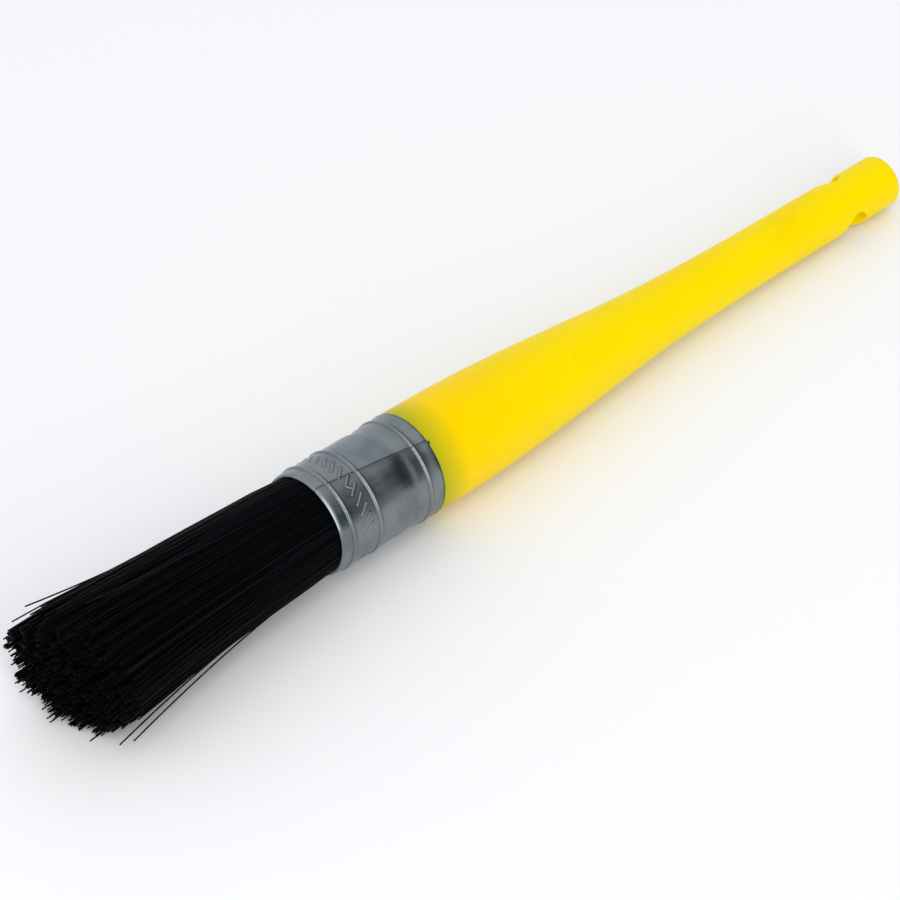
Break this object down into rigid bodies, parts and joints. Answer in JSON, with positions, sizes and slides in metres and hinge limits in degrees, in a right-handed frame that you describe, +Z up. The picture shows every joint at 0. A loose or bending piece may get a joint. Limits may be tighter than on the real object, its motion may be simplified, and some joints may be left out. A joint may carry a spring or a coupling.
{
  "type": "parts cleaning brush",
  "caption": "Round brush with stiff black bristles set in a rolled steel ferrule, on a tapered yellow plastic handle with a hole for hanging.",
  "frame": {"origin": "middle of the brush's footprint, on the surface that it lies on", "axes": "+X from the bristles towards the handle's end, +Z up, as the brush lies on a table with the swell and the end of its handle and the underside of its bristles down; its own axis is tilted 2.4 degrees down towards +X"},
  "size_m": [0.337, 0.045, 0.0452],
  "materials": {
    "handle_plastic": "satin",
    "ferrule_steel": "satin tin plate",
    "resin": "cast",
    "bristle_nylon": "satin"
  },
  "bodies": {
    "root": {"handle": "handle_plastic", "ferrule": "ferrule_steel", "resin_set": "resin", "bristle_tuft": "bristle_nylon", "stray_bristles": "bristle_nylon"}
  },
  "joints": []
}
